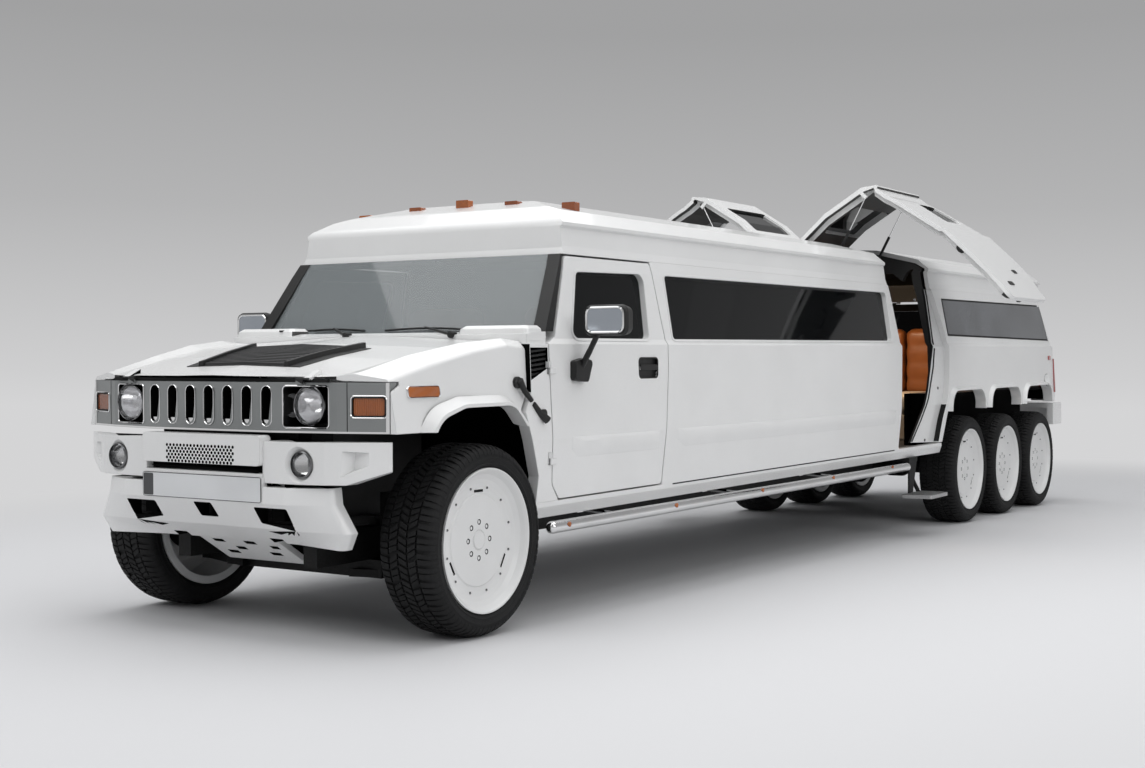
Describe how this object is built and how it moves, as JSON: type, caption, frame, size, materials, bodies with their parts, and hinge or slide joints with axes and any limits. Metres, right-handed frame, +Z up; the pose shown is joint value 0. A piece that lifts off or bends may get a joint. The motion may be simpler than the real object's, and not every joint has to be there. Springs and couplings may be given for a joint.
{
  "type": "stretch limousine",
  "caption": "Stretch limousine with three rear axles, gull-wing cabin doors standing open, tilting clamshell bonnet, slotted front panel and steered front wheels.",
  "frame": {"origin": "on the ground below the middle of the vehicle's overall box", "axes": "+Y to the rear, +X to the vehicle's left, +Z up; the front faces -Y"},
  "size_m": [3.677, 10.4814, 2.6494],
  "materials": {
    "white_paint": "gloss",
    "silver_panel": "satin",
    "black_steel": "satin",
    "cast_engine": "cast",
    "carpet": "carpet",
    "tinted_glass": "dark tint",
    "clear_glass": "clear",
    "lamp_glass": "clear lens",
    "amber_lens": "amber lens",
    "red_lens": "red lens",
    "trim_liner": "trim",
    "bright_tube": "polished",
    "tan_leather": "smooth",
    "black_plastic": "grained",
    "strut_black": "gloss",
    "strut_steel": "polished",
    "white_wheel": "gloss",
    "tyre_rubber": "rubber"
  },
  "bodies": {
    "root": {"chassis_frame": "black_steel", "front_suspension": "black_steel", "rear_axles": "black_steel", "engine_block": "cast_engine", "floor_pan": "carpet", "cab_frame": "white_paint", "windscreen_frame": "black_plastic", "windscreen": "clear_glass", "front_panel": "silver_panel", "headlamps": "lamp_glass", "amber_lamps": "amber_lens", "front_bumper": "white_paint", "roof_cap": "white_paint", "portal_hoops": "trim_liner", "side_windows": "tinted_glass", "stretch_side_left": "white_paint", "stretch_side_right": "white_paint", "rear_side_left": "white_paint", "rear_side_right": "white_paint", "rear_bumper": "white_paint", "tail_lamps": "red_lens", "running_tubes": "bright_tube", "entry_steps": "black_steel", "seats": "tan_leather", "dashboard": "black_plastic"},
    "bonnet_lid": {"bonnet": "white_paint"},
    "tailgate_lid": {"tailgate": "white_paint", "tailgate_glass": "tinted_glass"},
    "front_door_left": {"door_left": "white_paint", "door_glass_left": "tinted_glass", "mirror_left": "black_plastic"},
    "gull_wing_left": {"gull_door_left": "white_paint", "gull_glass_left": "tinted_glass"},
    "strut_cylinders_left": {"strut_tubes_left": "strut_black"},
    "strut_pistons_left": {"strut_rods_left": "strut_steel"},
    "steering_left": {"knuckle_left": "black_steel"},
    "road_wheel_0_left": {"wheel_0_left": "white_wheel", "tyre_0_left": "tyre_rubber"},
    "road_wheel_1_left": {"wheel_1_left": "white_wheel", "tyre_1_left": "tyre_rubber"},
    "road_wheel_2_left": {"wheel_2_left": "white_wheel", "tyre_2_left": "tyre_rubber"},
    "road_wheel_3_left": {"wheel_3_left": "white_wheel", "tyre_3_left": "tyre_rubber"},
    "front_door_right": {"door_right": "white_paint", "door_glass_right": "tinted_glass", "mirror_right": "black_plastic"},
    "gull_wing_right": {"gull_door_right": "white_paint", "gull_glass_right": "tinted_glass"},
    "strut_cylinders_right": {"strut_tubes_right": "strut_black"},
    "strut_pistons_right": {"strut_rods_right": "strut_steel"},
    "steering_right": {"knuckle_right": "black_steel"},
    "road_wheel_0_right": {"wheel_0_right": "white_wheel", "tyre_0_right": "tyre_rubber"},
    "road_wheel_1_right": {"wheel_1_right": "white_wheel", "tyre_1_right": "tyre_rubber"},
    "road_wheel_2_right": {"wheel_2_right": "white_wheel", "tyre_2_right": "tyre_rubber"},
    "road_wheel_3_right": {"wheel_3_right": "white_wheel", "tyre_3_right": "tyre_rubber"}
  },
  "joints": [
    {"name": "bonnet_tilt", "type": "hinge", "parent": "root", "child": "bonnet_lid", "pos_m": [0, -5.16086, 1.17016], "axis": [1, 0, 0], "range_deg": [0, 60]},
    {"name": "tailgate_lift", "type": "hinge", "parent": "root", "child": "tailgate_lid", "pos_m": [0, 4.76553, 1.93866], "axis": [1, 0, 0], "range_deg": [0, 80]},
    {"name": "front_door_left_swing", "type": "hinge", "parent": "root", "child": "front_door_left", "pos_m": [1.003, -3.913, 1.18933], "axis": [0, 0.017, -0.9999], "range_deg": [0, 68]},
    {"name": "gull_wing_left_lift", "type": "hinge", "parent": "root", "child": "gull_wing_left", "pos_m": [0.12, 1.25976, 2.24923], "axis": [0, -0.9999, -0.017], "range_deg": [-45.5, 0]},
    {"name": "strut_left_turn", "type": "hinge", "parent": "root", "child": "strut_cylinders_left", "pos_m": [0.42, 1.26319, 2.04726], "axis": [0, -0.9999, -0.017], "range_deg": [-60.45, 0.5]},
    {"name": "strut_left_slide", "type": "slide", "parent": "strut_cylinders_left", "child": "strut_pistons_left", "axis": [0.4681, -0.015, 0.8835], "range_m": [-0.2607, 0.003]},
    {"name": "steering_left", "type": "hinge", "parent": "root", "child": "steering_left", "pos_m": [0.745, -4.45291, 0.4405], "axis": [0, 0, 1], "range_deg": [-30, 30]},
    {"name": "wheel_0_left_roll", "type": "hinge", "parent": "steering_left", "child": "road_wheel_0_left", "pos_m": [0.88, -4.45291, 0.4405], "axis": [1, 0, 0], "continuous": true},
    {"name": "wheel_1_left_roll", "type": "hinge", "parent": "root", "child": "road_wheel_1_left", "pos_m": [0.88, 2.31909, 0.4405], "axis": [1, 0, 0], "continuous": true},
    {"name": "wheel_2_left_roll", "type": "hinge", "parent": "root", "child": "road_wheel_2_left", "pos_m": [0.88, 3.32709, 0.4405], "axis": [1, 0, 0], "continuous": true},
    {"name": "wheel_3_left_roll", "type": "hinge", "parent": "root", "child": "road_wheel_3_left", "pos_m": [0.88, 4.33509, 0.4405], "axis": [1, 0, 0], "continuous": true},
    {"name": "front_door_right_swing", "type": "hinge", "parent": "root", "child": "front_door_right", "pos_m": [-1.003, -3.913, 1.18933], "axis": [0, -0.017, 0.9999], "range_deg": [0, 68]},
    {"name": "gull_wing_right_lift", "type": "hinge", "parent": "root", "child": "gull_wing_right", "pos_m": [-0.12, 1.25976, 2.24923], "axis": [0, 0.9999, 0.017], "range_deg": [-45.5, 0]},
    {"name": "strut_right_turn", "type": "hinge", "parent": "root", "child": "strut_cylinders_right", "pos_m": [-0.42, 1.26319, 2.04726], "axis": [0, 0.9999, 0.017], "range_deg": [-60.45, 0.5]},
    {"name": "strut_right_slide", "type": "slide", "parent": "strut_cylinders_right", "child": "strut_pistons_right", "axis": [-0.4681, -0.015, 0.8835], "range_m": [-0.2607, 0.003]},
    {"name": "steering_right", "type": "hinge", "parent": "root", "child": "steering_right", "pos_m": [-0.745, -4.45291, 0.4405], "axis": [0, 0, 1], "range_deg": [-30, 30]},
    {"name": "wheel_0_right_roll", "type": "hinge", "parent": "steering_right", "child": "road_wheel_0_right", "pos_m": [-0.88, -4.45291, 0.4405], "axis": [1, 0, 0], "continuous": true},
    {"name": "wheel_1_right_roll", "type": "hinge", "parent": "root", "child": "road_wheel_1_right", "pos_m": [-0.88, 2.31909, 0.4405], "axis": [1, 0, 0], "continuous": true},
    {"name": "wheel_2_right_roll", "type": "hinge", "parent": "root", "child": "road_wheel_2_right", "pos_m": [-0.88, 3.32709, 0.4405], "axis": [1, 0, 0], "continuous": true},
    {"name": "wheel_3_right_roll", "type": "hinge", "parent": "root", "child": "road_wheel_3_right", "pos_m": [-0.88, 4.33509, 0.4405], "axis": [1, 0, 0], "continuous": true}
  ],
  "couplings": [
    {"joint": "strut_left_turn", "follows": "gull_wing_left_lift", "ratio": 1.3176},
    {"joint": "strut_left_slide", "follows": "gull_wing_left_lift", "m_per_rad": 0.32453},
    {"joint": "strut_right_turn", "follows": "gull_wing_right_lift", "ratio": 1.3176},
    {"joint": "strut_right_slide", "follows": "gull_wing_right_lift", "m_per_rad": 0.32453},
    {"joint": "steering_right", "follows": "steering_left", "ratio": 1}
  ]
}
